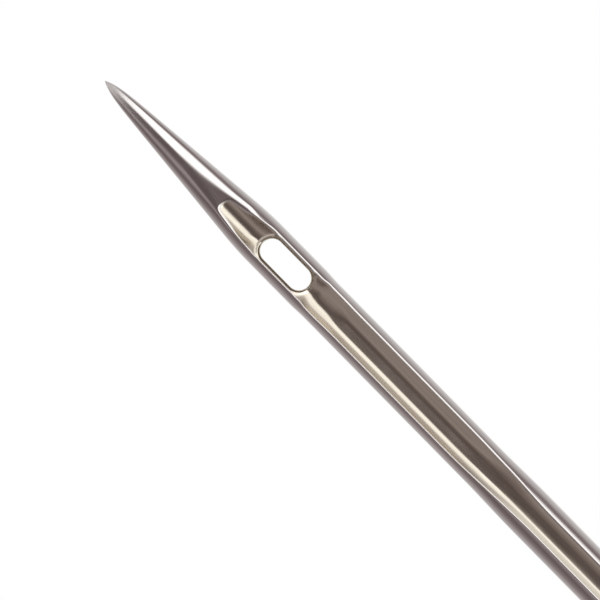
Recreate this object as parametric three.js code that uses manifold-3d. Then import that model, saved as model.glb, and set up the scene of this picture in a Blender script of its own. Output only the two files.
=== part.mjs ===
// A sewing machine needle of size 90, the household kind with one flat side on its shank.
// It is one piece of hardened steel wire: swaged from the shank down to the blade, grooved on
// both sides, scarfed behind the eye, pierced and ground to a slender point.
//
// Millimetres, +Z up, as the needle hangs in a machine. The origin is the middle of the butt
// face, which stops against the needle bar, and the point is at the bottom. The long groove faces
// the sewer at -Y. The flat of the shank, the scarf and the short groove face +Y.
//
// The one piece of steel is held as six sections that meet on flat planes, each with the name
// that a needle maker gives to that length: shank, shoulder, blade, scarf, eye and point.
import * as THREE from "three";
import { mergeVertices, toCreasedNormals } from "three/addons/utils/BufferGeometryUtils.js";
import Module from "manifold-3d";

// Shank and shoulder
const SHANK_DIAMETER = 2.02;
const SHANK_THICKNESS = 1.65; // from the flat to the round side
const SHANK_LENGTH = 11.6; // butt face to the top of the shoulder's cone
const BUTT_CHAMFER_WIDTH = 0.28;
const BUTT_CHAMFER_HEIGHT = 0.42;
const BUTT_ROUNDING = 0.08; // how softly the chamfer meets the shank
const SHOULDER_LENGTH = 1.9;
const SHOULDER_TOP_ROUNDING = 0.08;
const SHOULDER_FOOT_ROUNDING = 0.2;

// Blade
const BLADE_DIAMETER = 0.9;
const NECK_DIAMETER = 0.86; // the blade beside the scarf, pressed a little narrower
const NECK_LENGTH = 4.4; // from the eye's upper end to where the blade begins to widen
const NECK_FADE = 1.15; // the length in which the neck widens to the blade
const EYE_DIAMETER = 0.885; // the blade bulges a little where the eye is pierced
const EYE_FADE = 0.35; // the length in which that bulge meets the neck

// Eye and point
const BUTT_TO_EYE = 33.9; // butt face to the eye's upper end
const EYE_LENGTH = 1.1;
const EYE_WIDTH = 0.43;
const EYE_RIM = 0.05; // radius of the rounded rim
const POINT_LENGTH = 4.0; // the eye's lower end to the tip
const TAPER_LENGTH = 3.75; // from the tip to where the taper reaches the full width
const TAPER_ROUNDING = 0.03; // how softly the taper meets the blade
const NOSE_RADIUS = 0.094; // what the rounded nose adds to the straight taper
const NOSE_LENGTH = 0.2; // how far up from the tip the nose rounds off
const FRONT_FLAT = 0.35; // the needle's axis to the flat pressed on the front below the eye

// Long groove, at the front
const GROOVE_WIDTH = 0.48;
const GROOVE_WEB = 0.1; // the needle's axis to the groove's floor
const GROOVE_BOWL = 0.2; // height of the groove's rounded bottom
const GROOVE_GAP = 0.5; // plain blade between the shoulder and the groove
const GROOVE_CUTTER_RADIUS = 12; // of the round cutter that leaves the groove's upper ramp
const NECK_GROOVE_WIDTH = 0.6; // the pressed groove beside the scarf and the eye is wider
const SCOOP_LENGTH = 1.0; // the groove's run-out below the eye
const SCOOP_END_WIDTH = 0.42;
const SCOOP_CURVE = 3; // the power with which the run-out rises, higher for a blunter end

// Scarf and short groove, at the back
const SCARF_GAP = 0.35; // the eye's upper end to the scarf's lower edge
const SCARF_ENTRY = 0.85; // length of the scarf's short lower ramp
const SCARF_FLOOR_LENGTH = 1.3;
const SCARF_RAMP = 2.1; // length of the scarf's long upper ramp
const SCARF_WEB = 0.2; // the needle's axis to the scarf's floor
const SHORT_GROOVE_WIDTH = 0.56;
const SHORT_GROOVE_WEB = 0.28; // the needle's axis to the short groove's floor
const SHORT_GROOVE_BOWL = 0.14;
const SHORT_GROOVE_RAMP = 0.7; // run-out at the short groove's lower end

// Where things are along the needle
const EYE_TOP_Z = -BUTT_TO_EYE;
const EYE_FOOT_Z = EYE_TOP_Z - EYE_LENGTH;
const TIP_Z = EYE_FOOT_Z - POINT_LENGTH;
const SHOULDER_TOP_Z = -SHANK_LENGTH;
const SHOULDER_FOOT_Z = SHOULDER_TOP_Z - SHOULDER_LENGTH;
const NECK_TOP_Z = EYE_TOP_Z + NECK_LENGTH;
const BLADE_FOOT_Z = NECK_TOP_Z + NECK_FADE;
const SCOOP_END_Z = EYE_FOOT_Z - SCOOP_LENGTH;
const SCARF_FOOT_Z = EYE_TOP_Z + SCARF_GAP;
const FLAT_Y = SHANK_THICKNESS - SHANK_DIAMETER / 2;
const OUTSIDE = SHANK_DIAMETER; // a distance from the axis that is clear of the steel

// Facets
const ROUND_STEPS = 64; // around the wire
const BOWL_STEPS = 12; // across the rounded bottom of a groove
const EYE_END_STEPS = 12; // round each end of the eye
const EYE_SIDE_STEPS = 4;
const RIM_STEPS = 4;

const STEEL = { color: 0xb9b3ad, metalness: 1, roughness: 0.22 };

const wasm = await Module();
wasm.setup();

const mix = (a, b, t) => a + (b - a) * t;
const rise = (from, to, z) => {
  const t = THREE.MathUtils.clamp((z - from) / (to - from), 0, 1);
  return t * t * (3 - 2 * t);
};

// The smaller and the larger of two lengths, rounded over where they are within k of each other.
const softMin = (a, b, k) => Math.min(a, b) - Math.max(k - Math.abs(a - b), 0) ** 2 / (4 * k);
const softMax = (a, b, k) => -softMin(-a, -b, k);

// The wire's radius at a height, before any groove is cut.
function radiusAt(z) {
  const eyeRadius = EYE_DIAMETER / 2;
  const bladeRadius = BLADE_DIAMETER / 2;
  const shankRadius = SHANK_DIAMETER / 2;
  const fromTip = z - TIP_Z;
  const nose = NOSE_RADIUS * (1 - Math.exp(-fromTip / NOSE_LENGTH));
  const taper = nose + ((eyeRadius - NOSE_RADIUS) * fromTip) / TAPER_LENGTH;
  const neck = mix(eyeRadius, NECK_DIAMETER / 2, rise(EYE_TOP_Z, EYE_TOP_Z + EYE_FADE, z));
  const blade = mix(neck, bladeRadius, rise(NECK_TOP_Z, BLADE_FOOT_Z, z));
  const coneShare = (z - SHOULDER_FOOT_Z) / SHOULDER_LENGTH;
  const cone = mix(bladeRadius, shankRadius, coneShare);
  const chamfer = shankRadius - BUTT_CHAMFER_WIDTH * (1 + z / BUTT_CHAMFER_HEIGHT);
  const shoulder = softMin(cone, shankRadius, SHOULDER_TOP_ROUNDING);
  const swaged = softMax(blade, shoulder, SHOULDER_FOOT_ROUNDING);
  return softMin(softMin(swaged, taper, TAPER_ROUNDING), chamfer, BUTT_ROUNDING);
}

// Heights from one to another. A crowd above 1 puts them closer together near the first.
const heights = (from, to, steps, crowd = 1) =>
  Array.from({ length: steps }, (_, i) => mix(from, to, (i / steps) ** crowd));

// A closed mesh as a solid that can be cut and joined.
function solidOf(geometry) {
  const bare = geometry.index ? geometry.toNonIndexed() : geometry.clone();
  bare.deleteAttribute("normal");
  bare.deleteAttribute("uv");
  const merged = mergeVertices(bare, 1e-5);
  return new wasm.Manifold(
    new wasm.Mesh({
      numProp: 3,
      vertProperties: new Float32Array(merged.attributes.position.array),
      triVerts: new Uint32Array(merged.index.array),
    }),
  );
}

// A closed skin over rings of points, with a fan to the middle of the first and the last ring.
// Seen from the last ring, each ring runs anticlockwise.
function loft(rings) {
  const count = rings[0].length;
  const points = rings.flat();
  const faces = [];
  for (let r = 0; r + 1 < rings.length; r++) {
    for (let i = 0; i < count; i++) {
      const a = r * count + i;
      const b = r * count + ((i + 1) % count);
      faces.push(a, b, b + count, a, b + count, a + count);
    }
  }
  const lastRing = points.length - count;
  for (const [first, turn] of [[0, 1], [lastRing, 0]]) {
    const middle = new THREE.Vector3();
    for (let i = 0; i < count; i++) middle.addScaledVector(points[first + i], 1 / count);
    points.push(middle);
    for (let i = 0; i < count; i++) {
      const edge = [first + i, first + ((i + 1) % count)];
      faces.push(points.length - 1, edge[turn], edge[1 - turn]);
    }
  }
  return new THREE.BufferGeometry().setFromPoints(points).setIndex(faces);
}

// The swaged and pointed wire.
function wire() {
  const noseTop = TIP_Z + 5 * NOSE_LENGTH;
  const taperEnd = TIP_Z + TAPER_LENGTH;
  const taperSoft = (TAPER_ROUNDING * TAPER_LENGTH) / (EYE_DIAMETER / 2 - NOSE_RADIUS);
  const footSoft =
    (SHOULDER_FOOT_ROUNDING * SHOULDER_LENGTH * 2) / (SHANK_DIAMETER - BLADE_DIAMETER);
  const topSoft =
    (SHOULDER_TOP_ROUNDING * SHOULDER_LENGTH * 2) / (SHANK_DIAMETER - BLADE_DIAMETER);
  const chamferSoft = (BUTT_ROUNDING * BUTT_CHAMFER_HEIGHT) / BUTT_CHAMFER_WIDTH;
  const stations = [
    ...heights(TIP_Z, noseTop, 12, 2),
    ...heights(noseTop, taperEnd - taperSoft, 3),
    ...heights(taperEnd - taperSoft, taperEnd + taperSoft, 6),
    ...heights(taperEnd + taperSoft, EYE_TOP_Z, 1),
    ...heights(EYE_TOP_Z, EYE_TOP_Z + EYE_FADE, 4),
    ...heights(EYE_TOP_Z + EYE_FADE, NECK_TOP_Z, 1),
    ...heights(NECK_TOP_Z, BLADE_FOOT_Z, 5),
    ...heights(BLADE_FOOT_Z, SHOULDER_FOOT_Z - footSoft, 1),
    ...heights(SHOULDER_FOOT_Z - footSoft, SHOULDER_FOOT_Z + footSoft, 8),
    ...heights(SHOULDER_FOOT_Z + footSoft, SHOULDER_TOP_Z - topSoft, 1),
    ...heights(SHOULDER_TOP_Z - topSoft, SHOULDER_TOP_Z + topSoft, 5),
    ...heights(SHOULDER_TOP_Z + topSoft, -BUTT_CHAMFER_HEIGHT - chamferSoft, 1),
    ...heights(-BUTT_CHAMFER_HEIGHT - chamferSoft, -BUTT_CHAMFER_HEIGHT + chamferSoft, 4),
    -BUTT_CHAMFER_HEIGHT + chamferSoft,
    0,
  ];
  const profile = stations.map((z) => new THREE.Vector2(radiusAt(z), z));
  profile[0].x = 0;
  profile.push(new THREE.Vector2(0, 0));
  return solidOf(new THREE.LatheGeometry(profile, ROUND_STEPS).rotateX(Math.PI / 2));
}

// The flat on the back of the shank. It runs out by itself where the shoulder gets thinner.
function shankFlat() {
  const depth = OUTSIDE - FLAT_Y;
  const length = SHANK_LENGTH + SHOULDER_LENGTH + OUTSIDE;
  const box = new THREE.BoxGeometry(2 * OUTSIDE, depth, length);
  return solidOf(box.translate(0, FLAT_Y + depth / 2, OUTSIDE - length / 2));
}

// The flat on the front of the point. It runs out by itself on the taper and into the groove.
function frontFlat() {
  const depth = OUTSIDE - FRONT_FLAT;
  const length = EYE_TOP_Z - TIP_Z + OUTSIDE;
  const box = new THREE.BoxGeometry(2 * OUTSIDE, depth, length);
  return solidOf(box.translate(0, -FRONT_FLAT - depth / 2, EYE_TOP_Z - length / 2));
}

// How far a groove's floor stands out from its middle at x: a bowl, then upright sides.
function bowlAt(x, width, bowl) {
  const share = Math.min(Math.abs(x) / (width / 2), 1);
  return bowl * (1 - Math.sqrt(1 - share * share));
}

// What a groove or scarf takes away: a tool of round-bottomed section drawn along the needle.
// side is -1 at the front and 1 at the back. Each station, listed downwards, has its height z,
// the tool's width, and its web, the distance left between the axis and the floor.
function grooveCut(side, bowl, stations) {
  const rings = stations.map(({ z, width, web }) => {
    const ring = [];
    for (let i = 0; i <= BOWL_STEPS; i++) {
      const x = (width / 2) * Math.sin(Math.PI * (i / BOWL_STEPS - 0.5));
      ring.push(new THREE.Vector3(x, side * (web + bowlAt(x, width, bowl)), z));
    }
    ring.push(new THREE.Vector3(width / 2, side * 2 * OUTSIDE, z));
    ring.push(new THREE.Vector3(-width / 2, side * 2 * OUTSIDE, z));
    return side < 0 ? ring : ring.reverse();
  });
  return solidOf(loft(rings));
}

// The long groove: a round ramp under the shoulder, the blade, the wider neck, past the eye, and
// a scoop that runs out on the point.
const GROOVE_TOP_Z = SHOULDER_FOOT_Z - GROOVE_GAP;
function longGrooveStations() {
  const startWeb = BLADE_DIAMETER / 2 + EYE_RIM;
  const rampLength = Math.sqrt(2 * GROOVE_CUTTER_RADIUS * (startWeb - GROOVE_WEB));
  const rampFoot = GROOVE_TOP_Z - rampLength;
  const ramp = heights(GROOVE_TOP_Z, rampFoot, 8).map((z) => ({
    z,
    width: GROOVE_WIDTH,
    web: GROOVE_WEB + (z - rampFoot) ** 2 / (2 * GROOVE_CUTTER_RADIUS),
  }));
  const widthAt = (z) => mix(NECK_GROOVE_WIDTH, GROOVE_WIDTH, rise(NECK_TOP_Z, BLADE_FOOT_Z, z));
  const blade = [rampFoot, ...heights(BLADE_FOOT_Z, NECK_TOP_Z, 5), NECK_TOP_Z, EYE_TOP_Z];
  const endWeb = radiusAt(SCOOP_END_Z);
  const scoop = heights(EYE_FOOT_Z, SCOOP_END_Z - SCOOP_LENGTH / 4, 5).map((z) => {
    const share = (EYE_FOOT_Z - z) / SCOOP_LENGTH;
    return {
      z,
      width: mix(NECK_GROOVE_WIDTH, SCOOP_END_WIDTH, Math.min(share, 1)),
      web: mix(GROOVE_WEB, endWeb, share ** SCOOP_CURVE),
    };
  });
  return [...ramp, ...blade.map((z) => ({ z, width: widthAt(z), web: GROOVE_WEB })), ...scoop];
}

// The short groove: from inside the scarf, past the eye, to a run-out on the point.
const SHORT_GROOVE_TOP_Z = SCARF_FOOT_Z + SCARF_ENTRY;
const SHORT_GROOVE_END_Z = EYE_FOOT_Z - EYE_RIM - SHORT_GROOVE_RAMP;
function shortGrooveStations() {
  const width = SHORT_GROOVE_WIDTH;
  const rampTop = SHORT_GROOVE_END_Z + SHORT_GROOVE_RAMP;
  const endWeb = radiusAt(SHORT_GROOVE_END_Z);
  const ramp = heights(rampTop, SHORT_GROOVE_END_Z - SHORT_GROOVE_RAMP / 4, 5).map((z) => {
    const share = (rampTop - z) / SHORT_GROOVE_RAMP;
    return { z, width, web: mix(SHORT_GROOVE_WEB, endWeb, share ** 1.5) };
  });
  return [{ z: SHORT_GROOVE_TOP_Z, width, web: SHORT_GROOVE_WEB }, ...ramp];
}

// The scarf: a flat-floored clearance for the hook, with a long upper and a short lower ramp.
function scarfStations() {
  const width = 2 * BLADE_DIAMETER;
  const edge = NECK_DIAMETER / 2;
  const floorFoot = SCARF_FOOT_Z + SCARF_ENTRY;
  const floorTop = floorFoot + SCARF_FLOOR_LENGTH;
  const upper = heights(floorTop + SCARF_RAMP, floorTop, 8);
  const lower = heights(floorFoot, SCARF_FOOT_Z, 6);
  return [...upper, ...lower, SCARF_FOOT_Z].map((z) => {
    const up = rise(floorTop, floorTop + SCARF_RAMP, z);
    const down = 1 - rise(SCARF_FOOT_Z, floorFoot, z);
    return { z, width, web: mix(SCARF_WEB, edge + EYE_RIM, Math.max(up, down)) };
  });
}

// A point on the eye's outline, moved out by an amount: two straight sides and two round ends.
function eyeOutline(out) {
  const radius = EYE_WIDTH / 2;
  const straight = EYE_LENGTH / 2 - radius;
  const middle = (EYE_TOP_Z + EYE_FOOT_Z) / 2;
  const outline = [];
  for (const end of [1, -1]) {
    for (let i = 0; i <= EYE_END_STEPS; i++) {
      const angle = (Math.PI * i) / EYE_END_STEPS;
      const x = end * (radius + out) * Math.cos(angle);
      outline.push([x, middle + end * (straight + (radius + out) * Math.sin(angle))]);
    }
    for (let i = 1; i < EYE_SIDE_STEPS; i++) {
      const z = middle + end * mix(straight, -straight, i / EYE_SIDE_STEPS);
      outline.push([-end * (radius + out), z]);
    }
  }
  return outline;
}

// How far the grooved steel stands out from the needle's axis beside the eye.
function standAt(x, web, width, bowl) {
  const blade = Math.sqrt((EYE_DIAMETER / 2) ** 2 - x * x);
  return Math.min(web + bowlAt(x, width, bowl), blade);
}

// The eye, pierced through. Its rounded rim follows the grooved steel at the front and back.
function eyeCut() {
  const frontAt = (x) => -standAt(x, GROOVE_WEB, NECK_GROOVE_WIDTH, GROOVE_BOWL);
  const backAt = (x) => standAt(x, SHORT_GROOVE_WEB, SHORT_GROOVE_WIDTH, SHORT_GROOVE_BOWL);
  const rim = (floorAt, inward, step) => {
    const angle = (Math.PI / 2) * (step / RIM_STEPS);
    const out = EYE_RIM * (1 - Math.sin(angle));
    const depth = EYE_RIM * (1 - Math.cos(angle));
    return eyeOutline(out).map(([x, z]) => new THREE.Vector3(x, floorAt(x) + inward * depth, z));
  };
  const mouth = (y) => eyeOutline(EYE_RIM).map(([x, z]) => new THREE.Vector3(x, y, z));
  const rings = [mouth(2 * OUTSIDE)];
  for (let step = 0; step <= RIM_STEPS; step++) rings.push(rim(backAt, -1, step));
  for (let step = RIM_STEPS; step >= 0; step--) rings.push(rim(frontAt, 1, step));
  rings.push(mouth(-2 * OUTSIDE));
  return solidOf(loft(rings));
}

const needle = wire()
  .subtract(shankFlat())
  .subtract(frontFlat())
  .subtract(grooveCut(-1, GROOVE_BOWL, longGrooveStations()))
  .subtract(grooveCut(1, SHORT_GROOVE_BOWL, shortGrooveStations()))
  .subtract(grooveCut(1, 0, scarfStations()))
  .subtract(eyeCut());

// The sections, from the butt down, and the height at which each one ends.
const sections = [
  ["shank", SHOULDER_TOP_Z + SHOULDER_TOP_ROUNDING * SHOULDER_LENGTH],
  ["shoulder", SHOULDER_FOOT_Z - GROOVE_GAP / 2],
  ["blade", BLADE_FOOT_Z],
  ["scarf", EYE_TOP_Z + SCARF_GAP / 2],
  ["eye", SCOOP_END_Z - SCOOP_LENGTH / 4],
  ["point", TIP_Z],
];

// The steel between two heights, measured down from the upper one.
function sectionOf(top, foot) {
  const slab = new THREE.BoxGeometry(4 * OUTSIDE, 4 * OUTSIDE, top - foot);
  const cut = needle.intersect(solidOf(slab.translate(0, 0, (top + foot) / 2))).getMesh();
  const geometry = new THREE.BufferGeometry();
  geometry.setAttribute("position", new THREE.BufferAttribute(cut.vertProperties, 3));
  geometry.setIndex(new THREE.BufferAttribute(cut.triVerts, 1));
  return toCreasedNormals(geometry.translate(0, 0, -top), Math.PI / 5);
}

const group = new THREE.Group();
let top = 0;
for (const [name, foot] of sections) {
  const mesh = new THREE.Mesh(sectionOf(top, foot), new THREE.MeshStandardMaterial(STEEL));
  mesh.name = name;
  mesh.position.z = top;
  group.add(mesh);
  top = foot;
}

export default group;
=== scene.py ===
"""A sewing machine needle of size 90 in polished, plated steel, seen close up from the side of its
long groove. The whole needle is one continuous surface: the steel is described by one function of
place, and the surface is found where that function is zero, so that every lip, rim and run-out is
rounded as on the real, swaged and polished needle. Sizes are in millimetres until the mesh is made.
"""
import math
from typing import NamedTuple

import bpy
import numpy as np
from mathutils import Matrix, Vector


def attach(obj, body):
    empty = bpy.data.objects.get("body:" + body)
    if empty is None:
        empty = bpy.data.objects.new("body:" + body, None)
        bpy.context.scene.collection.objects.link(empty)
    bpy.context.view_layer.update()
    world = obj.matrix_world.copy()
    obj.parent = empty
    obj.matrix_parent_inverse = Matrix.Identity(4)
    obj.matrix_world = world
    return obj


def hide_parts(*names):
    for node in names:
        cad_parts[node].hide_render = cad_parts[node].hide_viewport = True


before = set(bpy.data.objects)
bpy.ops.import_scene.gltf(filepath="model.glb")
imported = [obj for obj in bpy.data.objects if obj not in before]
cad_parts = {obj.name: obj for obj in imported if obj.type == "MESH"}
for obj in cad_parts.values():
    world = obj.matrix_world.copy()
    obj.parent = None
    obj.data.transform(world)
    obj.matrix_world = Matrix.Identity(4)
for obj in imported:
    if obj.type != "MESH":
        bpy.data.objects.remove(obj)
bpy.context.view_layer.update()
MM = 0.001

# Sizes of the needle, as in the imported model
SHANK_DIAMETER, SHANK_THICKNESS, SHANK_LENGTH = 2.02, 1.65, 11.6
BUTT_CHAMFER_WIDTH, BUTT_CHAMFER_HEIGHT, BUTT_ROUNDING = 0.28, 0.42, 0.08
SHOULDER_LENGTH, SHOULDER_TOP_ROUNDING, SHOULDER_FOOT_ROUNDING = 1.9, 0.08, 0.2
BLADE_DIAMETER, NECK_DIAMETER, EYE_DIAMETER = 0.9, 0.86, 0.885
NECK_LENGTH, NECK_FADE, EYE_FADE = 4.4, 1.15, 0.35
BUTT_TO_EYE, EYE_LENGTH, EYE_WIDTH, POINT_LENGTH = 33.9, 1.1, 0.43, 4.0
TAPER_LENGTH, TAPER_ROUNDING, NOSE_RADIUS, NOSE_LENGTH = 3.75, 0.03, 0.094, 0.2
EYE_RIM, GROOVE_GAP, GROOVE_CUTTER_RADIUS = 0.05, 0.5, 12
SCARF_GAP, SCARF_ENTRY, SCARF_FLOOR_LENGTH = 0.35, 0.85, 1.3
SCARF_RAMP, SCARF_WEB = 2.1, 0.2
SHORT_GROOVE_WIDTH, SHORT_GROOVE_WEB, SHORT_GROOVE_RAMP = 0.56, 0.28, 0.7

# The flat pressed on the front below the eye: its distance from the axis, how it leans in below
# the knee, and where it runs out of the steel, all measured down from the eye
FRONT_FLAT, FRONT_FLAT_KNEE, FRONT_FLAT_SLOPE = 0.321, 1.1, 0.027
FRONT_FLAT_RUNOUT, FRONT_FLAT_RUNOUT_FOOT, FRONT_FLAT_RUNOUT_TOP = 0.4, 0.65, 0.15

# The long groove's run-out below the eye, straight at first and steep at its end, and the slightly
# raised collar round each end of the eye, measured outwards from the eye's outline
SCOOP_LENGTH, SCOOP_RISE, SCOOP_END_RISE, SCOOP_END_POWER = 1.02, 0.122, 0.06, 24
EYE_COLLAR, EYE_COLLAR_OUT, EYE_COLLAR_WIDTH = 0.03, 0.04, 0.035

# The short groove's section and ends
SHORT_GROOVE_SIDE, SHORT_GROOVE_BOW, SHORT_GROOVE_LEAN = 0.08, 1.0, 0.5
SHORT_GROOVE_CORNER, SHORT_GROOVE_START, SHORT_GROOVE_CURVE = 0.06, 0.05, 1.5
SHORT_GROOVE_FADE, FADE_START_SHARE, FADE_END_SHARE = 0.3, 0.5, 1.2

# How softly faces meet, and how far outside the steel a cut ends
FLAT_LIP, SHORT_GROOVE_LIP, SCARF_LIP, LIP_CHANGE, CLEARANCE = 0.03, 0.04, 0.05, 0.1, 0.05

EYE_TOP_Z = -BUTT_TO_EYE
EYE_FOOT_Z = EYE_TOP_Z - EYE_LENGTH
EYE_MIDDLE_Z = (EYE_TOP_Z + EYE_FOOT_Z) / 2
TIP_Z = EYE_FOOT_Z - POINT_LENGTH
SHOULDER_FOOT_Z = -SHANK_LENGTH - SHOULDER_LENGTH
NECK_TOP_Z = EYE_TOP_Z + NECK_LENGTH
BLADE_FOOT_Z = NECK_TOP_Z + NECK_FADE
GROOVE_TOP_Z = SHOULDER_FOOT_Z - GROOVE_GAP
SCARF_FOOT_Z = EYE_TOP_Z + SCARF_GAP
FLAT_Y = SHANK_THICKNESS - SHANK_DIAMETER / 2


class Section(NamedTuple):
    """The long groove's section. Left is -X. The values of the five sections follow fits to the
    photograph's brightness, under a guessed surround, and are no measurements."""
    web: float  # from the needle's axis to where the floor is deepest
    left_lip: float  # how softly the wall meets the outside of the needle
    right_lip: float
    middle: float  # where across the needle the floor is deepest
    left_bow: float  # curvature of the floor
    right_bow: float
    left: float  # how far the floor reaches
    left_lean: float  # how far the wall leans outwards
    right: float
    right_lean: float
    corner: float  # how softly floor and walls meet


GROOVE_SCOOP = Section(web=0.155, left_lip=0.03, right_lip=0.035, middle=0.046, left_bow=4.2, right_bow=4.3,
                       left=0.3, left_lean=0.6, right=0.132, right_lean=0.93, corner=0.03)
GROOVE_EYE = Section(web=0.168, left_lip=0.07, right_lip=0.02, middle=0.065, left_bow=3.2, right_bow=3.4,
                     left=0.3, left_lean=0.9, right=0.09, right_lean=1.2, corner=0.05)
GROOVE_LOW = Section(web=0.146, left_lip=0.044, right_lip=0.036, middle=0.058, left_bow=2.0, right_bow=4.6,
                     left=0.03, left_lean=1.75, right=0.185, right_lean=0.95, corner=0.07)
GROOVE_NECK = Section(web=0.185, left_lip=0.042, right_lip=0.03, middle=0.13, left_bow=0.0, right_bow=8.7,
                      left=0.084, left_lean=1.67, right=0.158, right_lean=1.1, corner=0.035)
GROOVE_BLADE = Section(web=0.306, left_lip=0.019, right_lip=0.018, middle=0.044, left_bow=2.1, right_bow=1.7,
                       left=0.114, left_lean=2.4, right=0.101, right_lean=1.33, corner=0.01)

# From the run-out below the eye upwards, the heights between which each next section takes over
GROOVE_CHANGES = (
    (EYE_FOOT_Z - 0.35, EYE_FOOT_Z - 0.05, GROOVE_EYE),
    (EYE_TOP_Z + 0.05, EYE_TOP_Z + 0.35, GROOVE_LOW),
    (EYE_TOP_Z + 0.45, EYE_TOP_Z + 1.0, GROOVE_NECK),
    (NECK_TOP_Z - 0.7, BLADE_FOOT_Z + 0.35, GROOVE_BLADE),
)

# How bright the surround looks, by azimuth in degrees: 0 is the camera's side and 90 is +X. Most
# values come from the photograph's brightness, and some were then changed. What is said to stand
# there is a guess.
SURROUND = (
    (-180, 1.0), (-158, 1.0), (-141, 0.8), (-119, 0.63),  # the pale backdrop and its left edge
    (-103, 0.38), (-92, 0.17), (-81, 0.33),  # a gap between the backdrop and the softbox
    (-71, 1.6), (-40, 1.85), (-16, 1.6), (-10.5, 0.9),  # the softbox, on the camera's left
    (-5, 0.2), (2, 0.125), (25, 0.12),  # the dark camera and what stands beside it
    (39, 0.22), (55, 0.41), (66, 0.3),  # a grey wall on the camera's right
    (82, 0.14),  # a gap at the right
    (104, 0.26), (129, 0.5), (150, 0.6), (166, 1.0), (180, 1.0),  # the backdrop's right edge
)
# The azimuths at which the backdrop's white starts and is full, how much warmer the dim parts are,
# and what the world's ramp is multiplied by
BACKDROP_START, BACKDROP_FULL, GAP_WARMTH, RAMP_STRENGTH = 150, 166, 0.34, 2.0

# The floor's radius and where it starts and ends to fade, in metres, and its drop below the tip
FLOOR_RADIUS, FLOOR_FADE_START, FLOOR_FADE_END, FLOOR_DROP = 0.06, 0.008, 0.03, 5.5

# The photograph's frame: its width, the blade's width and the tip's place in pixels, and how far
# the needle is turned in it, in degrees. The lens is long, so the view is square to the whole needle.
PHOTO_SIZE, BLADE_PIXELS, TIP_ACROSS, TIP_DOWN, NEEDLE_TURN = 600, 51, 104.8, 80.7, 45.47
LENS, SENSOR_WIDTH = 600, 36

# How the surface is sampled: points across the grid, its margin outside the wire, layers worked on
# at a time, and how often its points are moved onto the surface
GRID_ACROSS, GRID_MARGIN_SHARE, GRID_MARGIN, LAYERS_AT_A_TIME, SURFACE_STEPS = 110, 1.06, 0.006, 40, 5

# The depths below the blank's surface at which the steel starts to be a recess and is fully one
RECESS_START, RECESS_FULL = 0.003, 0.035


def rise(start, end, z):
    t = np.clip((z - start) / (end - start), 0, 1)
    return t * t * (3 - 2 * t)


def mix(a, b, t):
    return a + (b - a) * t


def soft_min(a, b, k):
    return np.minimum(a, b) - np.maximum(k - np.abs(a - b), 0) ** 2 / (4 * k)


def soft_max(a, b, k):
    return -soft_min(-a, -b, k)


def wire_radius(z):
    """The swaged and pointed wire, before anything is pressed or ground into it."""
    eye_r, blade_r, shank_r = EYE_DIAMETER / 2, BLADE_DIAMETER / 2, SHANK_DIAMETER / 2
    up = z - TIP_Z
    nose = NOSE_RADIUS * (1 - np.exp(-np.maximum(up, -0.05) / NOSE_LENGTH))
    taper = nose + (eye_r - NOSE_RADIUS) * up / TAPER_LENGTH
    neck = mix(eye_r, NECK_DIAMETER / 2, rise(EYE_TOP_Z, EYE_TOP_Z + EYE_FADE, z))
    blade = mix(neck, blade_r, rise(NECK_TOP_Z, BLADE_FOOT_Z, z))
    cone = mix(blade_r, shank_r, (z - SHOULDER_FOOT_Z) / SHOULDER_LENGTH)
    chamfer = shank_r - BUTT_CHAMFER_WIDTH * (1 + z / BUTT_CHAMFER_HEIGHT)
    swaged = soft_max(blade, soft_min(cone, shank_r, SHOULDER_TOP_ROUNDING), SHOULDER_FOOT_ROUNDING)
    return soft_min(soft_min(swaged, taper, TAPER_ROUNDING), chamfer, BUTT_ROUNDING)


def pressed(x, out, middle, left_bow, right_bow, left, left_lean, right, right_lean, corner):
    """How far inside a pressed groove a point is. out is the distance outwards from the middle of
    its floor, and each bow the floor's curvature on that side of its middle. left and right are how
    far the floor reaches to either side, each lean says how far that wall leans outwards, and corner
    how softly they all meet."""
    floor = out - np.where(x < middle, left_bow, right_bow) * (x - middle) ** 2 / 2
    left_wall = (left + left_lean * out + x) / np.hypot(1, left_lean)
    right_wall = (right + right_lean * out - x) / np.hypot(1, right_lean)
    return soft_min(floor, soft_min(left_wall, right_wall, corner), corner)


def long_groove(x, y, z):
    """How far inside the long groove a point is, and how rounded the groove's lips are there."""
    section = GROOVE_SCOOP
    for start, end, following in GROOVE_CHANGES:
        section = [mix(a, b, rise(start, end, z)) for a, b in zip(section, following)]
    web, left_lip, right_lip, *shape = section
    ramp_rise = BLADE_DIAMETER / 2 + CLEARANCE - GROOVE_BLADE.web
    ramp_foot = GROOVE_TOP_Z - math.sqrt(2 * GROOVE_CUTTER_RADIUS * ramp_rise)
    ramp = np.maximum(z - ramp_foot, 0) ** 2 / (2 * GROOVE_CUTTER_RADIUS)
    share = np.maximum(EYE_FOOT_Z - z, 0) / SCOOP_LENGTH
    scoop = SCOOP_RISE * share + SCOOP_END_RISE * share**SCOOP_END_POWER
    ends = rise(EYE_LENGTH / 2 - EYE_WIDTH / 2, EYE_LENGTH / 2, np.abs(z - EYE_MIDDLE_Z))
    collar = ends * EYE_COLLAR * np.exp(-(((eye(x, z) + EYE_COLLAR_OUT) / EYE_COLLAR_WIDTH) ** 2))
    lip = mix(left_lip, right_lip, rise(-LIP_CHANGE, LIP_CHANGE, x))
    return pressed(x, -y - web - ramp - scoop - collar, *shape), lip


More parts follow.
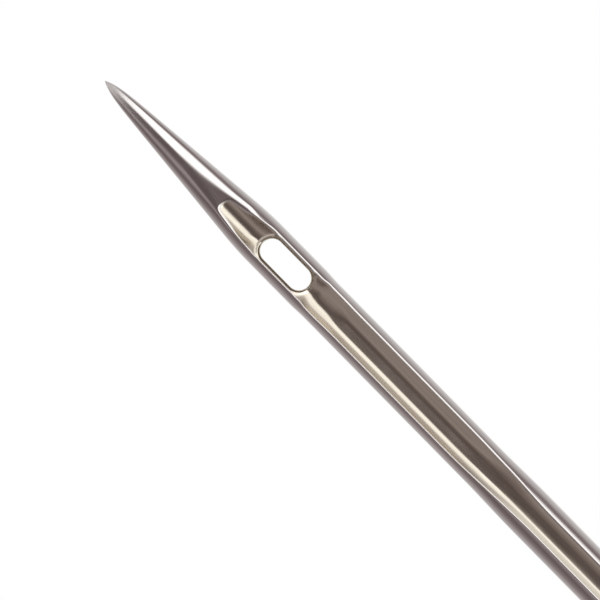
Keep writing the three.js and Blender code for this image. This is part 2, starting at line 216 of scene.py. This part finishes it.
def short_groove(x, y, z):
    """How far inside the short groove at the back a point is."""
    ramp_top = EYE_FOOT_Z - SHORT_GROOVE_START
    share = np.maximum(ramp_top - z, 0) / SHORT_GROOVE_RAMP
    end_web = wire_radius(np.array(ramp_top - SHORT_GROOVE_RAMP)) - SHORT_GROOVE_WEB
    fade = rise(SCARF_FOOT_Z + SCARF_ENTRY * FADE_START_SHARE, SCARF_FOOT_Z + SCARF_ENTRY * FADE_END_SHARE, z)
    web = SHORT_GROOVE_WEB + end_web * share**SHORT_GROOVE_CURVE + SHORT_GROOVE_FADE * fade
    half = SHORT_GROOVE_WIDTH / 2 - SHORT_GROOVE_SIDE
    side = half, SHORT_GROOVE_LEAN
    return pressed(x, y - web, 0.0, SHORT_GROOVE_BOW, SHORT_GROOVE_BOW, *side, *side, SHORT_GROOVE_CORNER)


def scarf(y, z):
    """How far inside the scarf a point is: a flat floor with a short and a long ramp."""
    floor_foot = SCARF_FOOT_Z + SCARF_ENTRY
    floor_top = floor_foot + SCARF_FLOOR_LENGTH
    up = rise(floor_top, floor_top + SCARF_RAMP, z)
    down = 1 - rise(SCARF_FOOT_Z, floor_foot, z)
    above = np.maximum(z - floor_top - SCARF_RAMP, 0)
    return y - mix(SCARF_WEB, NECK_DIAMETER / 2 + CLEARANCE, np.maximum(up, down)) - above


def eye(x, z):
    """How far inside the eye's outline a point is."""
    radius = EYE_WIDTH / 2
    past = np.maximum(np.abs(z - EYE_MIDDLE_Z) - (EYE_LENGTH / 2 - radius), 0)
    return radius - np.hypot(x, past)


def blank(x, y, z):
    """About how far a point is outside the wire with its flats, before the grooves are pressed."""
    f = np.hypot(x, y) - wire_radius(z)
    f = soft_max(f, z, FLAT_LIP)
    f = soft_max(f, y - FLAT_Y, FLAT_LIP)
    flat = FRONT_FLAT - FRONT_FLAT_SLOPE * np.maximum(EYE_FOOT_Z - FRONT_FLAT_KNEE - z, 0)
    runout = rise(EYE_FOOT_Z - FRONT_FLAT_RUNOUT_FOOT, EYE_FOOT_Z - FRONT_FLAT_RUNOUT_TOP, z)
    flat = mix(flat, FRONT_FLAT_RUNOUT, runout)
    return soft_max(f, -y - flat - np.maximum(z - EYE_TOP_Z, 0), FLAT_LIP)


def steel(x, y, z):
    """About how far a point is outside the steel. It is negative inside."""
    groove, lip = long_groove(x, y, z)
    f = soft_max(blank(x, y, z), groove, lip)
    f = soft_max(f, short_groove(x, y, z), SHORT_GROOVE_LIP)
    f = soft_max(f, scarf(y, z), SCARF_LIP)
    return soft_max(f, eye(x, z), EYE_RIM)


def slope(p, step=2e-4):
    """The gradient of the steel's function at points p."""
    out = np.empty_like(p)
    for axis in range(3):
        ahead, behind = p.copy(), p.copy()
        ahead[:, axis] += step
        behind[:, axis] -= step
        out[:, axis] = (steel(*ahead.T) - steel(*behind.T)) / (2 * step)
    return out


def layer_heights():
    """Heights at which the surface is sampled, closer together where the form changes quickly. Each
    band has the height where it starts and the step in it."""
    bands = [
        (TIP_Z - 0.012, 0.006), (TIP_Z + 0.06, 0.012), (TIP_Z + 0.3, 0.03), (TIP_Z + 0.9, 0.06),
        (EYE_FOOT_Z - 1.6, 0.03), (EYE_FOOT_Z - 0.25, 0.016), (EYE_TOP_Z + 0.2, 0.03),
        (SCARF_FOOT_Z + 1.2, 0.08), (BLADE_FOOT_Z + 0.3, 0.4), (GROOVE_TOP_Z - 3.2, 0.12),
        (GROOVE_TOP_Z - 0.6, 0.05), (-SHANK_LENGTH + 0.5, 0.35), (-BUTT_CHAMFER_HEIGHT - 0.2, 0.02),
        (0.03, 0),
    ]
    heights = [bands[0][0]]
    for (start, step), (end, _) in zip(bands, bands[1:]):
        count = max(1, round((end - start) / step))
        heights.extend(start + (end - start) * (i + 1) / count for i in range(count))
    return np.array(heights)


def needle_surface():
    """Vertices, faces and normals of the needle's surface, by naive surface nets on a grid that
    widens and narrows with the wire."""
    z = layer_heights()
    reach = np.maximum(wire_radius(z), 0) * GRID_MARGIN_SHARE + GRID_MARGIN
    line = np.linspace(-1, 1, GRID_ACROSS)
    layer = np.arange(len(z))
    corner = np.stack(np.meshgrid(line, line, layer, indexing="ij"), -1)

    def place(grid):
        width = np.interp(grid[..., 2], layer, reach)
        height = np.interp(grid[..., 2], layer, z)
        return np.stack([grid[..., 0] * width, grid[..., 1] * width, height], -1)

    value = np.empty(corner.shape[:3])
    for k in range(0, len(z), LAYERS_AT_A_TIME):
        some = slice(k, k + LAYERS_AT_A_TIME)
        value[:, :, some] = steel(*np.moveaxis(place(corner[:, :, some]), -1, 0))
    inside = value < 0

    ends = [(i, j, k) for i in (0, 1) for j in (0, 1) for k in (0, 1)]
    shape = np.array(inside.shape) - 1
    count = sum(inside[i:i + shape[0], j:j + shape[1], k:k + shape[2]].astype(np.int8) for i, j, k in ends)
    cells = np.argwhere((count > 0) & (count < 8))
    number = np.full(shape, -1)
    number[tuple(cells.T)] = np.arange(len(cells))

    # Each crossed cell gets one vertex, at the mean of the places where its edges are crossed.
    total, crossed = np.zeros((len(cells), 3)), np.zeros(len(cells))
    for a in ends:
        for b in ends:
            if sum(b) - sum(a) != 1 or any(q < p for p, q in zip(a, b)):
                continue
            va, vb = value[tuple((cells + a).T)], value[tuple((cells + b).T)]
            cut = (va < 0) != (vb < 0)
            t = np.where(cut, va / np.where(cut, va - vb, 1), 0)[:, None]
            total += cut[:, None] * (cells + np.array(a) * (1 - t) + np.array(b) * t)
            crossed += cut
    mean = total / crossed[:, None]
    mean[:, :2] = mean[:, :2] * 2 / (GRID_ACROSS - 1) - 1
    points = place(mean)

    # Each crossed grid edge gets one face, between the four cells round it.
    faces = []
    for axis in range(3):
        side, other = np.roll(np.eye(3, dtype=int), -axis, 0)[1:]
        first = np.delete(inside, -1, axis)
        edges = np.argwhere(first != np.delete(inside, 0, axis))
        starts_inside = first[tuple(edges.T)]
        ring = [number[tuple((edges - s * side - o * other).T)] for s, o in ((0, 0), (1, 0), (1, 1), (0, 1))]
        quad = np.stack(ring, 1)
        quad[~starts_inside] = quad[~starts_inside][:, ::-1]
        faces.append(quad)
    faces = np.concatenate(faces)

    cell = np.interp(points[:, 2], z, reach) * 2 / GRID_ACROSS
    for _ in range(SURFACE_STEPS):
        g = slope(points)
        move = -steel(*points.T) / np.maximum((g * g).sum(1), 1e-6)
        move = move[:, None] * g
        size = np.linalg.norm(move, axis=1)
        points += move * np.minimum(1, 1.5 * cell / np.maximum(size, 1e-9))[:, None]
    normals = slope(points)
    normals /= np.linalg.norm(normals, axis=1)[:, None]
    return points, faces, normals


def mesh_of(name, points, faces, normals, recess):
    """A smooth piece with the given normals. The material reads where it is recessed."""
    mesh = bpy.data.meshes.new(name)
    mesh.vertices.add(len(points))
    mesh.vertices.foreach_set("co", points.astype(np.float32).ravel())
    mesh.loops.add(faces.size)
    mesh.loops.foreach_set("vertex_index", faces.astype(np.int32).ravel())
    mesh.polygons.add(len(faces))
    mesh.polygons.foreach_set("loop_start", np.arange(0, faces.size, 4, dtype=np.int32))
    mesh.update(calc_edges=True)
    mesh.validate()
    mesh.polygons.foreach_set("use_smooth", np.ones(len(mesh.polygons), dtype=bool))
    mesh.normals_split_custom_set_from_vertices(normals.tolist())
    mesh.attributes.new("recess", "FLOAT", "POINT").data.foreach_set("value", recess.astype(np.float32))
    piece = bpy.data.objects.new(name, mesh)
    bpy.context.scene.collection.objects.link(piece)
    return piece


class Nodes:
    """Short ways to add and join shader nodes."""

    def __init__(self, tree):
        self.tree = tree
        tree.nodes.clear()

    def add(self, kind, *inputs, **settings):
        node = self.tree.nodes.new(kind)
        for key, value in settings.items():
            setattr(node, key, value)
        for key, value in enumerate(inputs):
            self.put(node, key, value)
        return node

    def put(self, node, key, value):
        if value is None:
            return
        if isinstance(value, bpy.types.NodeSocket):
            self.tree.links.new(value, node.inputs[key])
        else:
            node.inputs[key].default_value = value

    def math(self, operation, *inputs):
        return self.add("ShaderNodeMath", *inputs, operation=operation).outputs[0]

    def span(self, value, low, high, to_low=0.0, to_high=1.0, smooth=False):
        node = self.add("ShaderNodeMapRange", value, low, high, to_low, to_high)
        node.interpolation_type = "SMOOTHSTEP" if smooth else "LINEAR"
        return node.outputs[0]

    def blend(self, share, a, b):
        node = self.add("ShaderNodeMix", data_type="RGBA")
        for key, value in ((0, share), (6, a), (7, b)):
            self.put(node, key, value)
        return node.outputs[2]


def steel_material():
    """Plated steel. Where it was pressed in, its colour is a little warmer and darker, which is painted shade
    in the recesses, and its surface is a little rougher.
    """
    light, grey, drawn = (0.6, 0.573, 0.563, 1), (0.56, 0.531, 0.517, 1), (0.68, 0.655, 0.643, 1)
    # Darker, warmer colours for the recesses: painted shade in the grooves.
    recess_shade_colour, recess_shade_drawn = (0.505, 0.459, 0.392, 1), (0.62, 0.565, 0.484, 1)
    lip_wear, recess_wear = 1.3, 0.06
    bump_strength, bump_height = 0.2, 0.0000006
    material = bpy.data.materials.new("plated_steel")
    material.use_nodes = True
    n = Nodes(material.node_tree)
    place = n.add("ShaderNodeTexCoord").outputs["Object"]

    def noise(scale, detail, rough=0.5):
        stretched = n.add("ShaderNodeMapping", place)
        stretched.inputs["Scale"].default_value = scale
        return n.add("ShaderNodeTexNoise", stretched.outputs[0], None, 1.0, detail, rough).outputs[0]

    # Fine lines left by drawing and swaging run along the needle.
    lines = noise((26000, 26000, 260), 3, 0.6)
    broad = noise((5200, 5200, 420), 2)
    cloud = noise((2600, 2600, 1500), 4, 0.6)
    streaks = n.span(lines, 0.3, 0.75)
    tint = n.blend(streaks, n.blend(n.span(cloud, 0.35, 0.7), light, grey), drawn)
    painted_recess_shade = n.blend(streaks, recess_shade_colour, recess_shade_drawn)
    recess = n.add("ShaderNodeAttribute", attribute_name="recess").outputs["Fac"]
    # Painted shade: the recess takes the darker, warmer colour.
    tint = n.blend(recess, tint, painted_recess_shade)
    shader = n.add("ShaderNodeBsdfPrincipled")
    n.put(shader, "Base Color", tint)
    shader.inputs["Metallic"].default_value = 1.0
    grain = n.math("ADD", n.span(broad, 0.3, 0.7, 0.10, 0.15), n.span(cloud, 0.4, 0.75, 0.0, 0.05))
    # The lips, where the recess begins, are worn duller by the thread.
    lips = n.math("MULTIPLY", recess, n.math("SUBTRACT", 1.0, recess))
    wear = n.math("MULTIPLY_ADD", lips, lip_wear, n.math("MULTIPLY", recess, recess_wear))
    n.put(shader, "Roughness", n.math("ADD", grain, wear))
    bump = n.add("ShaderNodeBump")
    bump.inputs["Strength"].default_value = bump_strength
    bump.inputs["Distance"].default_value = bump_height
    n.put(bump, "Height", n.math("ADD", n.math("MULTIPLY", lines, 0.5), broad))
    n.put(shader, "Normal", bump.outputs[0])
    output = n.add("ShaderNodeOutputMaterial")
    n.put(output, "Surface", shader.outputs[0])
    return material


def floor_and_surround():
    """A plain pale floor under the needle, fading into the white background, and the studio's
    surround: a wide soft light on one side of the camera, a pale backdrop and dimmer gaps."""
    bpy.ops.mesh.primitive_circle_add(vertices=96, radius=FLOOR_RADIUS, fill_type="NGON",
                                      location=(0, 0, (TIP_Z - FLOOR_DROP) * MM))
    floor = bpy.context.active_object
    floor.name = "floor"
    material = bpy.data.materials.new("floor")
    material.use_nodes = True
    n = Nodes(material.node_tree)
    place = n.add("ShaderNodeSeparateXYZ", n.add("ShaderNodeTexCoord").outputs["Object"])
    away = n.math("SQRT", n.math("ADD", n.math("POWER", place.outputs[0], 2.0),
                                 n.math("POWER", place.outputs[1], 2.0)))
    fade = n.span(away, FLOOR_FADE_START, FLOOR_FADE_END, smooth=True)
    paper = n.add("ShaderNodeBsdfDiffuse", (0.9, 0.9, 0.895, 1))
    clear = n.add("ShaderNodeBsdfTransparent", (1, 1, 1, 1))
    both = n.add("ShaderNodeMixShader", fade, paper.outputs[0], clear.outputs[0])
    n.put(n.add("ShaderNodeOutputMaterial"), "Surface", both.outputs[0])
    floor.data.materials.append(material)

    world = bpy.data.worlds.new("surround")
    bpy.context.scene.world = world
    world.use_nodes = True
    n = Nodes(world.node_tree)
    direction = n.add("ShaderNodeSeparateXYZ", n.add("ShaderNodeTexCoord").outputs["Generated"])
    turn = n.math("ARCTAN2", direction.outputs[0], n.math("MULTIPLY", direction.outputs[1], -1.0))
    ramp = n.add("ShaderNodeValToRGB", n.span(turn, -math.pi, math.pi))
    ramp.color_ramp.interpolation = "LINEAR"
    stops = ramp.color_ramp.elements
    for azimuth, _ in SURROUND[1:-1]:
        stops.new((azimuth + 180) / 360)
    for stop, (_, glow) in zip(stops, SURROUND):
        warmth = GAP_WARMTH * max(0, 1 - glow) ** 2
        share = glow / RAMP_STRENGTH
        stop.color = (share * (1 + warmth), share, share, 1)
    path = n.add("ShaderNodeLightPath")
    behind = n.span(n.math("ABSOLUTE", turn), math.radians(BACKDROP_START), math.radians(BACKDROP_FULL))
    mirrored = n.math("MULTIPLY", path.outputs["Is Glossy Ray"], behind)
    through = n.math("MAXIMUM", path.outputs["Is Camera Ray"], path.outputs["Is Transmission Ray"])
    seen = n.math("MAXIMUM", through, mirrored)
    shown = n.add("ShaderNodeBackground", ramp.outputs[0], RAMP_STRENGTH)
    white = n.add("ShaderNodeBackground", (1, 1, 1, 1), 1.0)
    both = n.add("ShaderNodeMixShader", seen, shown.outputs[0], white.outputs[0])
    n.put(n.add("ShaderNodeOutputWorld"), "Surface", both.outputs[0])


def softbox(name, azimuth, elevation, distance, width, height, glow):
    """A soft light round the needle's eye. Azimuth 0 is the camera's side, and 90 is +X. glow is
    how bright the box looks."""
    a, e = math.radians(azimuth), math.radians(elevation)
    back = Vector((math.sin(a) * math.cos(e), -math.cos(a) * math.cos(e), math.sin(e)))
    light = bpy.data.lights.new(name, "AREA")
    light.shape = "RECTANGLE"
    light.size, light.size_y = width, height
    light.energy = glow * math.pi * width * height
    lamp = bpy.data.objects.new(name, light)
    lamp.location = Vector((0, 0, EYE_TOP_Z * MM)) + back * distance
    lamp.rotation_mode = "QUATERNION"
    lamp.rotation_quaternion = back.to_track_quat("Z", "Y")
    lamp.visible_camera = False
    bpy.context.scene.collection.objects.link(lamp)


def close_camera():
    """The photograph's view: square to the groove, with the point at the upper left."""
    pixel, middle = BLADE_DIAMETER / BLADE_PIXELS, PHOTO_SIZE / 2
    turn = math.radians(NEEDLE_TURN)
    right = Vector((-math.sin(turn), 0, math.cos(turn)))
    up = Vector((-math.cos(turn), 0, -math.sin(turn)))
    back = Vector((0, -1, 0))
    aim = Vector((0, 0, TIP_Z)) + (right * (middle - TIP_ACROSS) - up * (middle - TIP_DOWN)) * pixel
    data = bpy.data.cameras.new("close_camera")
    data.lens, data.sensor_width = LENS, SENSOR_WIDTH
    distance = PHOTO_SIZE * pixel * LENS / SENSOR_WIDTH
    camera = bpy.data.objects.new("close_camera", data)
    bpy.context.scene.collection.objects.link(camera)
    place = Matrix((right, up, back)).transposed().to_4x4()
    place.translation = (aim + back * distance) * MM
    camera.matrix_world = place
    data.clip_start, data.clip_end = 0.001, 10
    bpy.context.scene.camera = camera


points, faces, normals = needle_surface()
recess = rise(RECESS_START, RECESS_FULL, -blank(*points.T))
needle = mesh_of("needle", points * MM, faces, normals, recess)
needle.data.materials.append(steel_material())
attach(needle, "root")
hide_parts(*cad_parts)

floor_and_surround()
softbox("top_light", azimuth=-40, elevation=60, distance=0.45, width=0.3, height=0.3, glow=1.2)
close_camera()
bpy.context.scene.view_settings.view_transform = "Standard"
